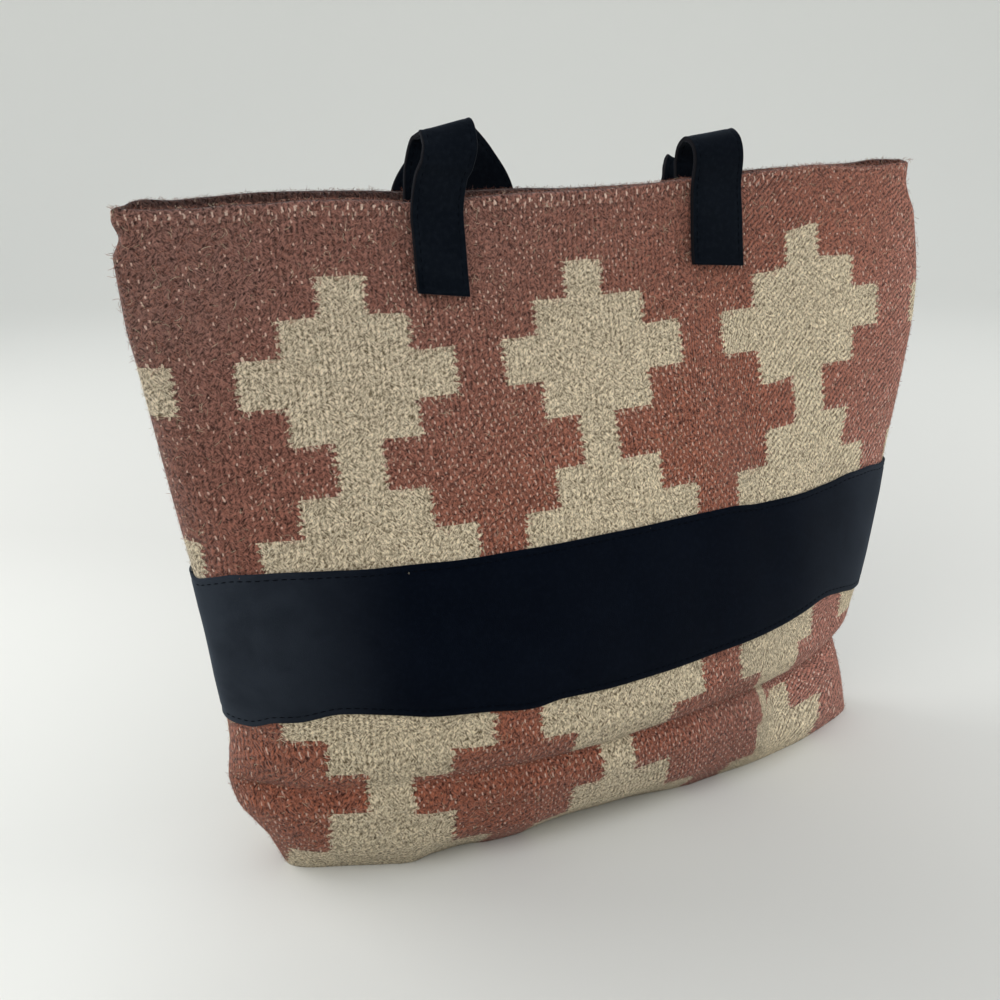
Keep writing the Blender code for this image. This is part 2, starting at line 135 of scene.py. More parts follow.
class Level:
    # one level of the bag, with the plan curves of its front and back
    def __init__(self, down, inset):
        share = down / cloth["drop"]
        half = cloth["topWidth"] / 2
        self.share = share
        sizes = [smoothTable(levels, share, k) for k in range(1, 8)]
        high, left, right, deep, ridge, self.face, self.side = sizes
        self.height = cloth["rimHeight"] * high
        left = half * left - inset + smoothTable(swellLeft, share)
        right = half * right - inset + smoothTable(swellRight, share)
        self.ridge = half * ridge
        fade = max(0.0, 1 - share / levels[1, 0]) ** 1.5
        depths = [cloth["halfDepth"] * deep - inset + cloth[rim] * fade for rim in ("rimFront", "rimBack")]
        self.curves = [(self.arc(left + self.ridge, d), self.arc(right - self.ridge, d)) for d in depths]

    def arc(self, reach, depth):
        turn = np.sin(np.linspace(0, math.pi / 2, 241))
        along = reach * turn
        deep = depth * np.maximum(1 - turn ** self.face, 0) ** (1 / self.side)
        return along, deep, lengthsAlong(np.hypot(np.diff(along), np.diff(deep)))

    def ends(self, back):
        left, right = self.curves[int(back)]
        return -left[2][-1] + self.ridge, right[2][-1] + self.ridge

    def plan(self, across, back):
        fromRidge = across - self.ridge
        left, right = self.curves[int(back)]
        made = []
        for k, sign in ((0, -1), (1, 1)):
            onLeft = sign * np.interp(-fromRidge, left[2], left[k])
            made.append(np.where(fromRidge > 0, np.interp(fromRidge, right[2], right[k]), onLeft))
        return self.ridge + made[0], made[1]


levelStore = {}


def levelAt(down, inset=0.0):
    key = (round(float(down), 6), round(float(inset), 6))
    if key not in levelStore:
        levelStore[key] = Level(down, inset)
    return levelStore[key]


def ripple(x, z):
    # slow unevenness of handwoven cloth, within about a millimetre
    return (0.45 * np.sin(31 * x + 17 * z + 1.3) + 0.35 * np.sin(-53 * x + 41 * z + 0.4)
            + 0.25 * np.sin(97 * x + 23 * z + 2.1) + 0.2 * np.sin(19 * x - 88 * z + 4.0)) * 0.001


def clothRow(down, across, back=False, inset=0.0):
    # points of the cloth at one level, at arc lengths across from the middle
    across = np.asarray(across, float)
    level = levelAt(down, inset)
    x, depth = level.plan(across, back)
    place = x / (cloth["topWidth"] / 2)
    inside = np.maximum(0.0, 1 - place * place)
    up = 1 - level.share
    flat = np.minimum(1, depth / 0.02)
    deep = smoothTable(creaseDepth, place) * flat
    uneven = ripple(x, level.height + x) * flat * min(1, level.share * 5)
    # the hem's edge shows as a faint dip a little below the fold
    hemDip = cloth["hemMarkDepth"] * hump(down, cloth["hemMark"], cloth["hemMarkWidth"]) * flat
    if back:
        z = level.height + up * up * smoothTable(rimBack, place)
        groove = deep * hump(level.share, cloth["creaseLevel"], cloth["backSpread"])
        y = np.maximum(depth - 0.7 * groove - hemDip, 0.4 * depth) + uneven
        return np.stack([x, y, z], axis=-1)
    z = level.height + up * up * smoothTable(rimFront, place)
    # the sagging cloth folds over itself: it swells, hangs over and tucks back in
    s = (level.share - cloth["creaseLevel"]) / cloth["creaseSpread"]
    groove = deep * hump(s, 0.15, 1)
    swell = deep * 0.30 * hump(s, -1.5, 0.9)
    z = z - deep * 0.42 * hump(s, -0.45, 0.55) + deep * 0.30 * hump(s, 0.75, 0.6)
    bow = inside * (level.share * cloth["baseBow"] * (1 + 0.1 * place) - 4 * up * (1 - up) * 0.006)
    bow = bow - smoothTable(baseFront, place) * max(0.0, level.share - 0.85) / 0.15
    y = -np.maximum(depth + bow - groove + swell - hemDip, 0.4 * depth) - uneven
    return np.stack([x - 0.6 * groove * np.maximum(0, place) ** 6, y, z], axis=-1)


def clothSpan(down, shares, back=False, inset=0.0):
    # points of one level, at shares from 0 at the left seam to 1 at the right seam
    left, right = levelAt(down, inset).ends(back)
    across = left + (right - left) * np.asarray(shares, float)
    return clothRow(down, across, back, inset), across


def clothRing(down, shares, inset=0.0):
    # front from left to right, then the back from right to left, meeting at the seams
    front, acrossFront = clothSpan(down, shares, False, inset)
    back, acrossBack = clothSpan(down, shares, True, inset)
    for k in (0, -1):
        seam = (front[k] + back[k]) / 2
        seam[1] = 0.0
        front[k] = seam
        back[k] = seam
    return np.concatenate([front, back[::-1]]), np.concatenate([acrossFront, acrossBack[::-1]])


def denseDowns(count):
    # levels of the outer wall, closer together at the rim and round the fold
    fine = np.linspace(0, 1, 2000)
    weight = 1 + 2.2 * hump(fine, 0.015, 0.03) + 2.6 * hump(fine, cloth["creaseLevel"], 0.05)
    total = lengthsAlong((weight[1:] + weight[:-1]) / 2)
    return cloth["drop"] * np.interp(np.linspace(0, total[-1], count), total, fine)


# how far the woven pattern has slid down the cloth by row, its share by column, and the same at the right end
slideDown = table(1, (0, 0), (9, 0), (11.66, 0.3), (12.2, 0.55), (13.05, 0.36), (14.1, 0.3), (15.5, 0), (17, 0))
slideShare = table(1, (-12, 1.5), (-9.6, 1.4), (-8.8, 1.05), (-8.4, 1), (-6.5, 1), (-4.8, 0.3), (-3, 0.1),
                   (-1, 0), (12, 0))
slideRight = table(1, (0, 0), (11.6, 0), (12.3, 0.32), (12.9, 0.32), (13.35, 0.15), (13.75, 0.65), (14.4, 1.02),
                   (15.4, 0.55), (16.31, 0.1), (17, 0))


def weavePlace(across, down, back):
    # which place of the weave lies at this place of the cloth
    across = np.asarray(across, float)
    if back:
        return across, np.full(len(across), down)
    columns = across / step
    row = down / rowStep
    downShift = smoothTable(slideDown, row) * smoothTable(slideShare, columns)
    above = 2.1 * smoothStep(3.6, 6.3, columns)
    below = 1.95 * smoothStep(4.05, 4.75, columns) - 1.30 * smoothStep(5.2, 9.2, columns)
    low = smoothStep(12.9, 13.4, row)
    sideShift = (above * (1 - low) + below * low) * smoothStep(9.0, 11.6, row)
    downShift = downShift + smoothTable(slideRight, row) * smoothStep(4.3, 5.0, columns)
    # the rows climb a little towards the right end
    climb = smoothStep(4.6, 7.0, columns) * (1 - 0.5 * smoothStep(8.4, 9.8, columns))
    downShift = downShift + 0.27 * climb * (1 - smoothStep(5.6, 8.2, row))
    sideShift = sideShift - 0.22 * smoothStep(6.3, 7.8, columns) * (1 - smoothStep(4.2, 6.0, row))
    middleRows = smoothStep(6.3, 7.4, row) * (1 - smoothStep(8.6, 9.4, row))
    sideShift = sideShift + 0.32 * smoothStep(5.8, 7.4, columns) * middleRows
    return across + sideShift * step, down + downShift * rowStep


def flatMap(across, down):
    return np.stack([across, np.full(len(across), down)], axis=-1)


def weaveRing(down, acrossRing):
    half = len(acrossRing) // 2
    front = weavePlace(acrossRing[:half], down, False)
    back = weavePlace(acrossRing[half:], down, True)
    return np.stack([np.concatenate(pair) for pair in zip(front, back)], axis=-1)


def seamShares(count):
    # closer together near the seams, where the cloth turns
    t = np.linspace(0, 1, count)
    return t - 0.09 * np.sin(2 * math.pi * t) / (2 * math.pi)


# mesh helpers
def gridMesh(rows, uvs):
    # a bmesh grid laid onto the given rows of points, joined where they meet, with its weave map
    rows = np.asarray(rows, float)
    tall, wide = rows.shape[:2]
    bm = bmesh.new()
    bmesh.ops.create_grid(bm, x_segments=wide - 1, y_segments=tall - 1, size=1)
    bm.verts.ensure_lookup_table()
    places = [(round((v.co.x + 1) / 2 * (wide - 1)), round((v.co.y + 1) / 2 * (tall - 1))) for v in bm.verts]
    uvs = np.asarray(uvs, float)
    layer = bm.loops.layers.uv.new("weave")
    for face in bm.faces:
        for loop in face.loops:
            i, j = places[loop.vert.index]
            loop[layer].uv = uvs[j, i]
    for v, (i, j) in zip(bm.verts, places):
        v.co = rows[j, i]
    bmesh.ops.remove_doubles(bm, verts=bm.verts, dist=2e-6)
    return bm


def addObject(name, data):
    made = bpy.data.objects.new(name, data)
    bpy.context.scene.collection.objects.link(made)
    return made


def makeMesh(name, bm):
    mesh = bpy.data.meshes.new(name)
    bm.to_mesh(mesh)
    bm.free()
    return mesh


def makePiece(name, bm, material, replaces=None, smooth=True):
    mesh = makeMesh(name, bm)
    mesh.materials.append(material)
    if smooth:
        mesh.shade_smooth()
    piece = addObject(name, mesh)
    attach(piece, "root")
    if replaces:
        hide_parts(replaces)
    print(name, len(mesh.polygons), "faces")
    return piece


def faceOut(bm):
    bmesh.ops.recalc_face_normals(bm, faces=bm.faces)


def fillEnds(bm):
    bmesh.ops.holes_fill(bm, edges=[e for e in bm.edges if e.is_boundary], sides=0)
    faceOut(bm)


# shader helpers
def mathNode(operation, flipped=False):
    # a method of Wire that adds one Math node
    def method(self, *others):
        values = [*others, self] if flipped else [self, *others]
        return self.shade.node("ShaderNodeMath", {"operation": operation}, values).out()

    return method


class Wire:
    # a socket that adds Math nodes when it is used in an expression
    __add__, __radd__ = mathNode("ADD"), mathNode("ADD", True)
    __sub__, __rsub__ = mathNode("SUBTRACT"), mathNode("SUBTRACT", True)
    __mul__, __rmul__ = mathNode("MULTIPLY"), mathNode("MULTIPLY", True)
    __truediv__, __mod__ = mathNode("DIVIDE"), mathNode("FLOORED_MODULO")
    __gt__, __lt__ = mathNode("GREATER_THAN"), mathNode("LESS_THAN")
    __abs__, floor, fract = mathNode("ABSOLUTE"), mathNode("FLOOR"), mathNode("FRACT")
    sine, most, least = mathNode("SINE"), mathNode("MAXIMUM"), mathNode("MINIMUM")

    def __init__(self, shade, socket):
        self.shade = shade
        self.socket = socket

    def __neg__(self):
        return self * -1.0

    def offCentre(self):
        # how far the fraction lies from a half
        return abs(self.fract() - 0.5)

    def between(self, low, high, start=0.0, end=1.0):
        # smooth change from start to end while the value goes from low to high
        values = {"Value": self, "From Min": low, "From Max": high, "To Min": start, "To Max": end}
        return self.shade.node("ShaderNodeMapRange", {"interpolation_type": "SMOOTHSTEP"}, values).out()


class Made:
    # a node that was just added
    def __init__(self, shade, node):
        self.shade = shade
        self.node = node

    def out(self, name=0):
        return Wire(self.shade, self.node.outputs[name])


class Shade:
    # one material: its Principled BSDF and the nodes that lead to it
    def __init__(self, name, colour, roughness, **fixed):
        self.material = bpy.data.materials.new(name)
        self.material.use_nodes = True
        self.material.diffuse_color = (*colour, 1)
        self.tree = self.material.node_tree
        self.shader = self.tree.nodes["Principled BSDF"]
        self.shader.inputs["Base Color"].default_value = (*colour, 1)
        self.shader.inputs["Roughness"].default_value = roughness
        for key, value in fixed.items():
            self.shader.inputs[key.replace("_", " ")].default_value = value

    def node(self, kind, settings=None, values=None):
        made = self.tree.nodes.new(kind)
        for key, value in (settings or {}).items():
            if key == "stops":
                stops = made.color_ramp.elements
                while len(stops) > 1:
                    stops.remove(stops[-1])
                for k, (place, colour) in enumerate(value):
                    stop = stops[0] if k == 0 else stops.new(place)
                    stop.position = place
                    stop.color = (*colour, 1)
            else:
                setattr(made, key, value)
        pairs = values.items() if isinstance(values, dict) else enumerate(values or [])
        for key, value in pairs:
            socket = made.inputs[key]
            if isinstance(value, Wire):
                self.tree.links.new(value.socket, socket)
            else:
                socket.default_value = value
        return Made(self, made)

    def vector(self, operation, *values):
        return self.node("ShaderNodeVectorMath", {"operation": operation}, list(values)).out("Vector")

    def mix(self, factor, first, second):
        made = self.node("ShaderNodeMix", {"data_type": "RGBA", "clamp_factor": True})
        for name, value in (("Factor_Float", factor), ("A_Color", first), ("B_Color", second)):
            socket = next(s for s in made.node.inputs if s.identifier == name)
            if isinstance(value, Wire):
                self.tree.links.new(value.socket, socket)
            else:
                socket.default_value = (*value, 1)
        return Wire(self, next(s for s in made.node.outputs if s.identifier == "Result_Color"))

    def noise(self, where, scale, detail=2.0, roughness=0.5, distortion=0.0):
        values = {"Vector": where, "Scale": scale, "Detail": detail, "Roughness": roughness,
                  "Distortion": distortion}
        return self.node("ShaderNodeTexNoise", {"noise_dimensions": "3D"}, values).out()

    def joined(self, x, y, z=0.0):
        return self.node("ShaderNodeCombineXYZ", None, [x, y, z]).out()

    def parts(self, vector):
        made = self.node("ShaderNodeSeparateXYZ", None, [vector])
        return made.out(0), made.out(1), made.out(2)

    def place(self):
        # where a point lies in the part's frame
        return self.node("ShaderNodeTexCoord").out("Object")

    def weaveMap(self):
        # where it lies in the flat cloth: across and down
        return self.parts(self.node("ShaderNodeUVMap", {"uv_map": "weave"}).out())[:2]

    def bump(self, height, distance, strength=1.0):
        values = {"Strength": strength, "Distance": distance, "Height": height}
        return self.node("ShaderNodeBump", None, values).out()

    def darker(self, colour, share):
        return self.vector("SCALE", colour, (0, 0, 0), (0, 0, 0), share)

    def into(self, name, value):
        self.tree.links.new(value.socket, self.shader.inputs[name])


# woven wool: colour steps and the teeth, pins and specks along them, in pattern steps and metres
pattern = {
    "columns": (-9.56, -8.32, -7.39, -6.50, -5.45, -4.55, -3.58, -2.44, -1.57, -0.76,
                0.19, 1.25, 2.22, 3.45, 4.47, 5.51, 6.52, 7.48, 8.40, 9.82),
    "rows": (1.71, 2.66, 3.54, 4.67, 5.57, 6.74, 7.63, 8.65, 9.70, 10.73, 11.75, 12.78, 13.39, 14.39, 15.46),
    "firstColumn": -11.2,
    "toothPitch": 0.0043, "toothDepth": 0.0044, "pinPitch": 0.0060, "pinReach": 0.0021, "pinWidth": 0.13,
    "speckPitch": 0.0021, "speckFall": 0.0058, "loopPitch": 0.0062, "loopPlaces": (0.0020, 0.0052),
    "ribPitch": 0.0027, "twillPitch": 0.0040, "coursePitch": 0.0031, "streaks": (1300, 430), "leans": (38, -42),
}
# the first four colours clear and under painted sheen and shade, the specks without and with painted light
woolColours = {
    "rustDark": ((0.040, 0.0105, 0.0070), (0.041, 0.0180, 0.0135)),
    "rustLight": ((0.500, 0.166, 0.092), (0.318, 0.171, 0.138)),
    "creamDark": ((0.120, 0.084, 0.040), (0.112, 0.083, 0.046)),
    "creamLight": ((1.000, 0.850, 0.600), (0.880, 0.740, 0.545)),
    "speck": ((0.70, 0.49, 0.39), (0.84, 0.63, 0.53)),
    "rustPaintedLight": (0.640, 0.275, 0.198), "rustBroad": (0.44, 0.152, 0.100), "pin": (0.68, 0.54, 0.40),
    "loop": (0.82, 0.62, 0.50),
}


def woolMaterial():
    shade = Shade("handwovenWool", (0.20, 0.062, 0.045), 0.95, Sheen_Weight=0.19, Sheen_Roughness=0.5,
                  Specular_IOR_Level=0.05)
    where = shade.place()
    u, v = shade.weaveMap()
    x, y, z = shade.parts(where)

    # every edge of the weave wanders a little
    wanderA = shade.noise(where, 260, 2, 0.6)
    wanderB = shade.noise(shade.vector("ADD", where, (3.1, 1.7, 0.4)), 240, 2, 0.6)
    swayA, swayB = wanderA - 0.5, wanderB - 0.5
    uHand = u + swayA * 0.0022
    vHand = v + swayB * 0.0016

    # teeth where two colours meet along a warp
    tooth = (v / pattern["toothPitch"] + swayB * 1.9).offCentre() * 2 - 0.5
    ragged = shade.noise(where, 520, 1, 0.5)
    uTooth = uHand + tooth * ragged.between(0.3, 0.7, 0.55, 1.2) * pattern["toothDepth"]

    def stripe(value, edges, size):
        # the number of the colour step that a place lies in
        number = -1.0
        for edge in edges:
            number = number + (value > edge * size)
        return number

    column = stripe(uTooth, pattern["columns"], step)
    place = (column - 1) % 6
    fromMiddle = abs(place - 2)

    def creamRow(down):
        # whether this place of its row lies in a cream diamond
        row = stripe(down, pattern["rows"], rowStep)
        turn = row % 4
        reach = 2 - abs(turn - 2)
        inDiamond = (fromMiddle < reach + 0.5) * (place < 4.5) * (column > -0.5)
        atEdge = (column < -0.5) * (uTooth > pattern["firstColumn"] * step) * (abs(turn - 2) < 0.5)
        return inDiamond.most(atEdge) * (row > -0.5)

    cream = creamRow(vHand)
    pin = (u / pattern["pinPitch"] + swayA * 0.5).offCentre() < pattern["pinWidth"] / 2
    reach = pattern["pinReach"] * (0.6 + wanderB * 0.8)
    pins = pin * creamRow(vHand - reach).most(creamRow(vHand + reach))

    # fibres: short streaks that lie in patches, now one way and now the other
    def streaks(angle, start):
        fine, long = pattern["streaks"]
        c, d = math.cos(math.radians(angle)), math.sin(math.radians(angle))
        bend = swayA * 1.2
        spot = shade.joined((u * c + v * d) * fine + bend + start, (v * c - u * d) * long + bend, start)
        return shade.noise(spot, 1.0, 2, 0.55, 0.35)

    lean = shade.noise(where, 210, 1, 0.5).between(0.44, 0.56)
    oneWay = streaks(pattern["leans"][0], 3.0)
    otherWay = streaks(pattern["leans"][1], 11.0)
    knit = shade.noise(shade.joined(x * 1.1, y, z * 0.8), 620, 2, 0.6, 0.9)
    # upright ribs of warp, leaning into a twill at the right end
    twillSide = (u - 0.05).between(0.0, 0.05)
    turnOf = {name: 2 * math.pi / pattern[name] for name in ("ribPitch", "twillPitch", "coursePitch")}
    ribPhase = u * turnOf["ribPitch"] * (1 - twillSide * 0.35) + v * turnOf["twillPitch"] * twillSide
    ribs = (ribPhase + swayA * 5.0).sine()
    ribby = shade.noise(where, 11, 2, 0.5).between(0.40, 0.62) + twillSide * 0.5
    courses = (v * turnOf["coursePitch"] + swayB * 6.0 + u * 900).sine()
    grain = (oneWay * (1 - lean) + otherWay * lean) * 0.60 + knit * 0.40
    heather = (grain + ribs * ribby * 0.030 + courses * 0.016).between(0.345, 0.655)

    # light warp showing between the rust wefts
    cellU = uHand / pattern["speckPitch"]
    line = cellU.floor()
    fall = v / pattern["speckFall"] + (line % 2) * 0.5 + swayA * 0.8
    cell = {"Vector": shade.joined(line, fall.floor())}
    lot = shade.node("ShaderNodeTexWhiteNoise", {"noise_dimensions": "2D"}, cell).out("Value")
    speck = cellU.offCentre().between(0.12, 0.24, 1.0, 0.0)
    speck = speck * fall.offCentre().between(0.08, 0.17, 1.0, 0.0)
    # painted sheen and shade: the upper left is painted hazier and darker
    sheenShadeMask = (x * -1.6 + (z - 0.20) * 2.4).between(-0.15, 0.62)
    patch = shade.noise(where, 14, 2, 0.5)
    central = (x * x * 14 + (z - 0.14) * (z - 0.14) * 12).between(0.0, 0.55, 0.16, -0.10)
    often = (patch + central - sheenShadeMask * 0.05).between(0.36, 0.68, 0.20, 0.92)
    speck = speck * (lot < often) * lot.between(0.0, 1.0, 0.95, 0.45)

    # two staggered rows of warp loops where the cloth turns over
    def loops(down, shift):
        beside = (u / pattern["loopPitch"] + shift + swayA * 0.5).offCentre().between(0.045, 0.10, 1.0, 0.0)
        return beside * abs(v - down - swayB * 0.0022).between(0.0009, 0.0018, 1.0, 0.0)

    upper, lower = pattern["loopPlaces"]
    dash = (loops(upper, 0.0) * 0.95).most(loops(lower, 0.5) * 0.5) * patch.between(0.3, 0.6, 0.55, 1.0)

    # painted sheen and shade make the upper left hazier and darker, painted light makes the right end warmer
    # and lighter
    paintedWarmLight = (x - 0.08 + (0.22 - z) * 0.5).between(0.0, 0.14)
    broad = shade.noise(where, 5.5, 2, 0.5)
    sheenShadedColours = {name: shade.mix(sheenShadeMask, *woolColours[name])
             for name in ("rustDark", "rustLight", "creamDark", "creamLight")}
    rustLight = shade.mix(paintedWarmLight, sheenShadedColours["rustLight"], woolColours["rustPaintedLight"])
    rustLight = shade.mix(broad.between(0.35, 0.7, 0.0, 0.35), rustLight, woolColours["rustBroad"])
    rust = shade.mix(heather, sheenShadedColours["rustDark"], rustLight)
    colour = shade.mix(cream, rust, shade.mix(heather, sheenShadedColours["creamDark"], sheenShadedColours["creamLight"]))
    for share, tint in ((speck, shade.mix(paintedWarmLight, *woolColours["speck"])), (pins * 0.9, woolColours["pin"]),
                        (dash, woolColours["loop"])):
        colour = shade.mix(share * (1 - cream), colour, tint)
    # the hem's sewn edge and the cloth under the band lie in a little shade
    hemLine = abs(v - cloth["hemMark"] - swayB * 0.002).between(0.0003, 0.0012, 0.80, 1.0)
    low = (z - 0.03).between(0.0, 0.10, 0.84, 1.0) + (x - 0.02).between(0.0, 0.14, 0.0, 0.22)
    colour = shade.darker(colour, hemLine * low.least(1.0))
    # painted shade: the turned-in hem inside the mouth is painted darker for the shade there
    inner = (v + 0.0020 - (y > 0.004) * 0.0034).between(-0.0012, 0.0008, 0.36, 1.0)
    shade.into("Base Color", shade.darker(colour, inner))

    height = heather * 0.75 + ribs * ribby * 0.14 + courses * 0.06 + speck * 0.25
    shade.into("Normal", shade.bump(height, 0.0013, 0.75))
    return shade.material


def suedeMaterial(name, dark, light, cutEdge=0.0):
    shade = Shade(name, dark, 0.95, Sheen_Weight=0.085, Sheen_Roughness=0.4, Specular_IOR_Level=0.02)
    shade.shader.inputs["Sheen Tint"].default_value = (0.72, 0.85, 1.0, 1)
    where = shade.place()
    nap = shade.noise(where, 1500, 2, 0.6)
    brushed = shade.noise(where, 30, 3, 0.55, 0.4)
    scuff = shade.noise(where, 420, 3, 0.6).between(0.42, 0.72)
    colour = shade.mix(brushed.between(0.35, 0.7) * 0.45 + nap * 0.25 + scuff * 0.45, dark, light)
    x, _, z = shade.parts(where)
    # painted sheen: the nap is painted lighter towards both ends, below the rim, where it catches the light
    sheenAtEnds = (-x).between(0.115, 0.225, 0.0, 0.85).most(x.between(0.10, 0.235, 0.0, 0.55))
    sheenAtEnds = sheenAtEnds * brushed.between(0.3, 0.65, 0.7, 1.1) * (0.235 - z).between(0.0, 0.02)
    colour = shade.mix(sheenAtEnds, colour, (0.030, 0.0370, 0.0480))
    if cutEdge:
        # the raw edge of the doubled suede is lighter and browner
        edge = abs(shade.weaveMap()[0]).between(cutEdge, cutEdge + 0.0004)
        colour = shade.mix(edge * 0.8, colour, (0.0105, 0.0095, 0.0105))
    shade.into("Base Color", colour)
    shade.into("Roughness", brushed.between(0.3, 0.7, 0.85, 0.97))
    shade.into("Normal", shade.bump(nap * 0.7 + brushed * 0.3, 0.0003, 0.5))
    return shade.material


def threadMaterial(name, colour):
    shade = Shade(name, colour, 0.9, Specular_IOR_Level=0.03)
    where = shade.place()
    twist = shade.noise(where, 2600, 1, 0.5)
    shade.into("Base Color", shade.mix(twist, tuple(0.6 * c for c in colour), tuple(1.5 * c for c in colour)))
    return shade.material


def cottonMaterial():
    shade = Shade("liningCotton", (0.085, 0.042, 0.034), 0.9)
    u, v = shade.weaveMap()
    threadTurn = 2 * math.pi / 0.0009
    weave = (v * threadTurn).sine() * (u * threadTurn).sine()
    cloudy = shade.noise(shade.place(), 60, 2, 0.5)
    colour = shade.mix(weave * 0.25 + cloudy * 0.7, (0.060, 0.028, 0.022), (0.115, 0.058, 0.046))
    shade.into("Base Color", colour)
    shade.into("Normal", shade.bump(weave, 0.0002, 0.4))
    return shade.material


def fuzzMaterial():
    shade = Shade("woolFuzz", (0.25, 0.11, 0.08), 0.9, Specular_IOR_Level=0.1)
    tone = shade.node("ShaderNodeAttribute", {"attribute_name": "tone"}).out("Fac")
    stops = ((0.0, (0.050, 0.017, 0.012)), (0.22, (0.200, 0.075, 0.052)), (0.45, (0.430, 0.215, 0.160)),
             (0.55, (0.200, 0.160, 0.100)), (0.78, (0.560, 0.480, 0.340)), (1.0, (0.860, 0.780, 0.600)))
    shade.into("Base Color", shade.node("ShaderNodeValToRGB", {"stops": stops}, {"Fac": tone}).out("Color"))
    return shade.material


wool = woolMaterial()
suedeBand = suedeMaterial("suedeBand", (0.0010, 0.0022, 0.0052), (0.0026, 0.0044, 0.0088))
suedeStrap = suedeMaterial("suedeStrap", (0.0013, 0.0026, 0.0050), (0.0058, 0.0082, 0.0120), 0.0143)
navyThread = threadMaterial("navyThread", (0.0014, 0.0022, 0.0042))
cotton = cottonMaterial()
print("materials made")

# wool body
bodyGrid = {"across": 172, "down": 238, "hem": 9, "fold": 7}


def closedBag(rows, maps, shares, mapStep, rise=0.0):
    # rings of a bag, from the rim to the base, whose floor is drawn in to a slit that one face fills
    last, lastMap = rows[-1], maps[-1]
    for k, share in enumerate(shares, 1):
        ring = last.copy()
        ring[:, 1] *= share
        if rise:
            ring[:, 2] = rise * k
        rows.append(ring)
        maps.append(lastMap + np.array([0, mapStep * k]))
    bm = gridMesh(rows, maps)
    ends = [e for e in bm.edges if e.is_boundary and all(v.co.z < 0.01 for v in e.verts)]
    bmesh.ops.contextual_create(bm, geom=ends)
    faceOut(bm)
    return bm


def buildCloth():
    shares = seamShares(bodyGrid["across"])
    rows, maps = [], []

    def addRing(down, inset, lift, along):
        points, across = clothRing(down, shares, inset)
        points[:, 2] += lift
        rows.append(points)
        maps.append(flatMap(across, along) if along < 0 else weaveRing(down, across))

    hem = cloth["hem"]
    fold = math.pi * hem / 2 * 0.75
    addRing(cloth["hemDepth"] + 0.0005, cloth["wool"] + 0.0002, 0, -fold - cloth["hemDepth"] - 0.002)
    for k in range(bodyGrid["hem"]):
        down = cloth["hemDepth"] * (1 - k / bodyGrid["hem"])
        addRing(down, hem, 0, -fold - down)
    for k in range(1, bodyGrid["fold"] + 1):
        rest = 1 - k / (bodyGrid["fold"] + 1)
        angle = math.pi * rest
        addRing(0.0, hem / 2 * (1 - math.cos(angle)), cloth["rimRound"] * math.sin(angle), -fold * rest)
    for down in denseDowns(bodyGrid["down"]):
        addRing(down, 0.0, 0, down)
    bm = closedBag(rows, maps, (0.75, 0.45, 0.15), 0.012, 0.0002)
    return makePiece("wovenCloth", bm, wool, "woven_body")


clothPiece = buildCloth()

# lining
lining = {"top": 0.0275, "bottom": 0.3611, "floor": 0.0037, "across": 90, "down": 71, "gap": 0.0010}


def buildLining():
    rows, maps = [], []
    for k in range(lining["down"]):
        down = lining["top"] + (lining["bottom"] - lining["top"]) * k / (lining["down"] - 1)
        points, across = clothRing(down, seamShares(lining["across"]), cloth["wool"] + lining["gap"])
        points[:, 2] = np.maximum(points[:, 2], lining["floor"])
        rows.append(points)
        maps.append(flatMap(across, down))
    bm = closedBag(rows, maps, (0.7, 0.4, 0.1), 0.01)
    for face in bm.faces:
        face.normal_flip()
    return makePiece("liningBag", bm, cotton, "lining")


liningPiece = buildLining()

# suede bands
band = {"thick": 0.0014, "gap": 0.0003, "puff": 0.0006, "pinch": 0.0004, "stitchInset": 0.0030,
        "stitch": 0.0030, "stitchPitch": 0.0042, "thread": 0.0005}
# how far the band's edges have slipped, in pattern steps
bandUpper = table(1, (-12, 0.12), (-9.8, 0.12), (-9.3, 0), (-8.8, -0.1), (-8, -0.1), (-7, -0.06), (-5.8, 0),
                  (3, 0), (3.9, 0.1), (4.8, 0.14), (5.6, 0.16), (6.6, 0.1), (7.4, -0.02), (8.2, -0.02),
                  (9.2, 0.1), (12, 0.12))
bandLower = table(1, (-12, 0.06), (-9.1, 0), (-8.5, -0.17), (-8, -0.2), (-7.05, -0.36), (-6, -0.27),
                  (-4.9, -0.1), (-3.7, -0.05), (-2.6, 0.06), (-1.8, -0.02), (0, 0.02), (2, 0), (3.4, -0.06),
                  (5, -0.13), (6, -0.24), (6.9, -0.35), (7.8, -0.25), (8.6, -0.1), (10, 0), (12, 0))
bandEnds = table(1, (-12, 1), (-10, 1), (-8.6, 0), (12, 0))


